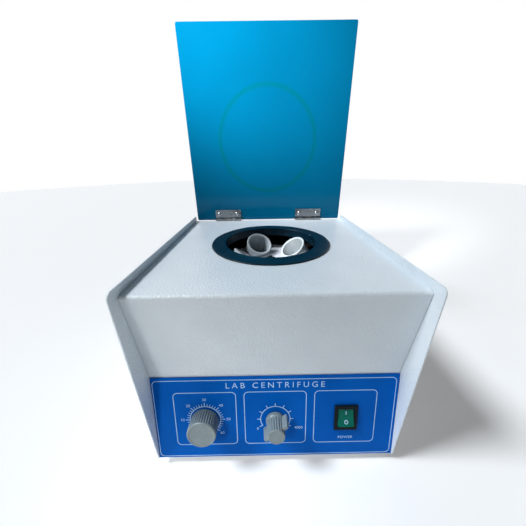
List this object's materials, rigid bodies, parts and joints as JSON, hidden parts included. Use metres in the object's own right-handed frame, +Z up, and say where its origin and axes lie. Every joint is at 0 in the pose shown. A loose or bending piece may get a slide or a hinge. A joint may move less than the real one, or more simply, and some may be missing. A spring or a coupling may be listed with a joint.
{
  "type": "laboratory centrifuge",
  "caption": "Bench-top laboratory centrifuge with a hinged acrylic lid standing open over a round chamber, an angle rotor with cups, and a leaning control panel with knobs and a rocker switch.",
  "frame": {"origin": "on the surface the rubber feet stand on, under the middle of the outline with the lid open", "axes": "+Z up, -Y towards the operator and the control panel, +X to the operator's right"},
  "size_m": [0.26, 0.295, 0.4853],
  "materials": {
    "off_white_powder_coat": "fine textured powder coat",
    "blue_panel_print": "screen-printed sheet, satin",
    "black_rubber": "matt moulded rubber",
    "black_enamel": "black baked enamel",
    "black_plastic": "moulded",
    "grey_knob_plastic": "fine moulded grain",
    "green_rocker": "translucent green moulding",
    "milky_polypropylene": "translucent moulding",
    "satin_alloy": "satin",
    "zinc_plated_steel": "bright zinc",
    "stainless_steel": "brushed",
    "blue_acrylic": "polished acrylic sheet",
    "copper_winding": "laminations and enamelled wire",
    "green_laminate": "solder-masked board",
    "cream_plastic": "moulded"
  },
  "bodies": {
    "case": {"base_plate": "off_white_powder_coat", "brush_cap_left": "black_plastic", "brush_cap_right": "black_plastic", "chamber_bowl": "black_enamel", "control_panel": "blue_panel_print", "foot_front_left": "black_rubber", "foot_front_right": "black_rubber", "foot_rear_left": "black_rubber", "foot_rear_right": "black_rubber", "fuse_cap": "black_plastic", "fuse_holder": "black_plastic", "left_hinge_case_leaf": "stainless_steel", "left_hinge_pin": "stainless_steel", "left_side_plate": "off_white_powder_coat", "lower_bearing": "zinc_plated_steel", "motor_housing": "zinc_plated_steel", "motor_lower_cap": "satin_alloy", "motor_mount_plate": "zinc_plated_steel", "motor_upper_cap": "satin_alloy", "potentiometer_nut": "zinc_plated_steel", "power_inlet": "black_plastic", "rear_panel": "off_white_powder_coat", "right_hinge_case_leaf": "stainless_steel", "right_hinge_pin": "stainless_steel", "right_side_plate": "off_white_powder_coat", "sealing_ring": "black_rubber", "speed_control_board": "green_laminate", "speed_potentiometer": "cream_plastic", "stator_core": "copper_winding", "switch_housing": "black_plastic", "terminal_block": "cream_plastic", "timer_movement": "cream_plastic", "timer_nut": "zinc_plated_steel", "top_front_cover": "off_white_powder_coat", "upper_bearing": "zinc_plated_steel", "vibration_damper_1": "black_rubber", "vibration_damper_2": "black_rubber", "vibration_damper_3": "black_rubber"},
    "lid": {"lid_panel": "blue_acrylic", "left_hinge_lid_leaf": "stainless_steel", "right_hinge_lid_leaf": "stainless_steel", "lid_hinge_screw_1": "zinc_plated_steel", "lid_hinge_screw_2": "zinc_plated_steel", "lid_hinge_screw_3": "zinc_plated_steel", "lid_hinge_screw_4": "zinc_plated_steel"},
    "rotor": {"rotor_body": "satin_alloy", "cup_1": "milky_polypropylene", "cup_2": "milky_polypropylene", "cup_3": "milky_polypropylene", "cup_4": "milky_polypropylene", "rotor_lock_nut": "black_plastic", "motor_shaft": "zinc_plated_steel", "drive_hub": "zinc_plated_steel", "armature": "copper_winding", "cooling_fan": "cream_plastic"},
    "timer_control": {"timer_knob": "grey_knob_plastic", "timer_spindle": "zinc_plated_steel"},
    "speed_control": {"speed_knob": "grey_knob_plastic", "speed_spindle": "zinc_plated_steel"},
    "rocker": {"power_rocker": "green_rocker"}
  },
  "joints": [
    {"name": "lid_hinge", "type": "hinge", "parent": "case", "child": "lid", "pos_m": [0, 0.1294, 0.2142], "axis": [1, 0, 0], "range_deg": [0, 93.4]},
    {"name": "rotor_spin", "type": "hinge", "parent": "case", "child": "rotor", "pos_m": [0, 0.0102, 0.2115], "axis": [0, 0, 1], "continuous": true},
    {"name": "timer_turn", "type": "hinge", "parent": "case", "child": "timer_control", "pos_m": [-0.0746, -0.12454, 0.05888], "axis": [0, 0.9772, -0.2125], "range_deg": [0, 270]},
    {"name": "speed_turn", "type": "hinge", "parent": "case", "child": "speed_control", "pos_m": [0, -0.12469, 0.05819], "axis": [0, 0.9772, -0.2125], "range_deg": [0, 240]},
    {"name": "rocker_tilt", "type": "hinge", "parent": "case", "child": "rocker", "pos_m": [0.075, -0.12151, 0.05873], "axis": [1, 0, 0], "range_deg": [0, 22]}
  ]
}
